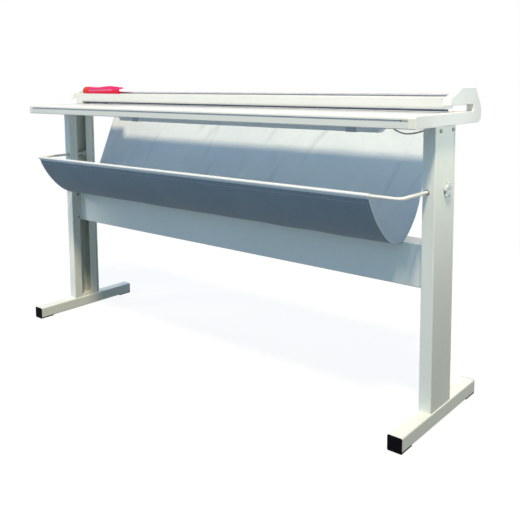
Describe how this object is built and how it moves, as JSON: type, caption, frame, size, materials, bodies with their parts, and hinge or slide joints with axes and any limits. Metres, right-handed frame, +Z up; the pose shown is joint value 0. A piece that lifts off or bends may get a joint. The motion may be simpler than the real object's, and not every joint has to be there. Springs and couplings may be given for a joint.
{
  "type": "rotary paper trimmer on a stand",
  "caption": "Wide-format rotary paper trimmer: table with a clamped cut line, sliding cutter head, two legs and a cloth trough that catches the sheets.",
  "frame": {"origin": "On the floor, midway between the two feet: the middle of the bounding box's base.", "axes": "+X runs along the cut to the right-hand end seen from the front, +Y points to the back, +Z is up."},
  "size_m": [1.79, 0.48, 0.9887],
  "materials": {
    "frame_paint": "satin",
    "cap_rubber": "matte",
    "bolt_steel": "satin",
    "table_board": "satin",
    "profile_white": "satin",
    "insert_grey": "matte",
    "knife_steel": "polished",
    "cheek_mould": "satin",
    "beam_paint": "satin",
    "cap_mould": "satin",
    "rod_steel": "polished",
    "clamp_clear": "gloss",
    "carriage_alu": "satin",
    "bush_plastic": "matte",
    "head_red": "gloss",
    "lever_pink": "gloss",
    "wheel_steel": "polished",
    "roller_plastic": "matte",
    "rod_paint": "gloss",
    "clamp_block": "matte",
    "knob_grey": "satin",
    "catch_fabric": "woven",
    "lamp_tray": "satin",
    "tube_glass": "frosted",
    "holder_white": "satin",
    "strap_dark": "satin",
    "lead_grey": "matte"
  },
  "bodies": {
    "root": {"foot_left": "frame_paint", "foot_right": "frame_paint", "post_left": "frame_paint", "post_right": "frame_paint", "post_cover_left": "frame_paint", "post_cover_right": "frame_paint", "stretcher": "frame_paint", "stretcher_ends": "frame_paint", "table_bracket_left": "frame_paint", "table_bracket_right": "frame_paint", "foot_cap_left_front": "cap_rubber", "foot_cap_left_rear": "cap_rubber", "foot_cap_right_front": "cap_rubber", "foot_cap_right_rear": "cap_rubber", "base_bolts": "bolt_steel", "stretcher_bolts": "bolt_steel", "bracket_bolts": "bolt_steel", "bracket_screws": "bolt_steel", "knife_screws": "bolt_steel", "strap_screws": "bolt_steel", "table_panel": "table_board", "front_profile": "profile_white", "rear_rail": "profile_white", "groove_insert": "insert_grey", "knife": "knife_steel", "cheek_left": "cheek_mould", "cheek_right": "cheek_mould", "beam": "beam_paint", "beam_cap_left": "cap_mould", "beam_cap_right": "cap_mould", "head_rod": "rod_steel", "clamp_strip": "clamp_clear", "rod_bush_left": "bush_plastic", "rod_bush_right": "bush_plastic", "lead_gland": "bush_plastic", "lead_box": "bush_plastic", "rod_clamp_left": "clamp_block", "rod_clamp_right": "clamp_block", "catch_cloth": "catch_fabric", "lamp_housing": "lamp_tray", "lamp_tube": "tube_glass", "lamp_holder_left": "holder_white", "lamp_holder_right": "holder_white", "lamp_straps": "strap_dark", "lamp_lead": "lead_grey"},
    "head": {"head_carriage": "carriage_alu", "slide_bushes": "bush_plastic", "head_cover": "head_red", "cover_screws": "bolt_steel", "lever_pin": "bolt_steel", "wheel_axle": "bolt_steel", "wheel_washer": "bolt_steel", "roller_pins": "bolt_steel"},
    "lever": {"thumb_lever": "lever_pink"},
    "wheel": {"cutting_wheel": "wheel_steel"},
    "roller_left": {"guide_roller_left": "roller_plastic"},
    "roller_right": {"guide_roller_right": "roller_plastic"},
    "catch_rod": {"catch_rod": "rod_paint"},
    "knob_left": {"knob_left": "knob_grey"},
    "knob_right": {"knob_right": "knob_grey"}
  },
  "joints": [
    {"name": "head_slide", "type": "slide", "parent": "root", "child": "head", "axis": [1, 0, 0], "range_m": [0, 1.41]},
    {"name": "wheel_spin", "type": "hinge", "parent": "head", "child": "wheel", "pos_m": [-0.738, 0.058, 0.932], "axis": [0, 1, 0], "continuous": true},
    {"name": "roller_left_spin", "type": "hinge", "parent": "head", "child": "roller_left", "pos_m": [-0.79, 0.05605, 0.9385], "axis": [0, 0, 1], "continuous": true},
    {"name": "roller_right_spin", "type": "hinge", "parent": "head", "child": "roller_right", "pos_m": [-0.686, 0.05605, 0.9385], "axis": [0, 0, 1], "continuous": true},
    {"name": "lever_lift", "type": "hinge", "parent": "head", "child": "lever", "pos_m": [-0.618, 0.0155, 0.979], "axis": [0, -1, 0], "range_deg": [0, 25]},
    {"name": "catch_rod_slide", "type": "slide", "parent": "root", "child": "catch_rod", "axis": [0, 1, 0], "range_m": [-0.01, 0.007], "deforming": ["catch_cloth"]},
    {"name": "knob_left_turn", "type": "hinge", "parent": "root", "child": "knob_left", "pos_m": [-0.877, 0.011, 0.691], "axis": [-1, 0, 0], "range_deg": [0, 360]},
    {"name": "knob_right_turn", "type": "hinge", "parent": "root", "child": "knob_right", "pos_m": [0.877, 0.011, 0.691], "axis": [1, 0, 0], "range_deg": [0, 360]}
  ],
  "couplings": [
    {"joint": "wheel_spin", "follows": "head_slide", "rad_per_m": 45.455},
    {"joint": "roller_left_spin", "follows": "head_slide", "rad_per_m": -125},
    {"joint": "roller_right_spin", "follows": "head_slide", "rad_per_m": -125}
  ]
}
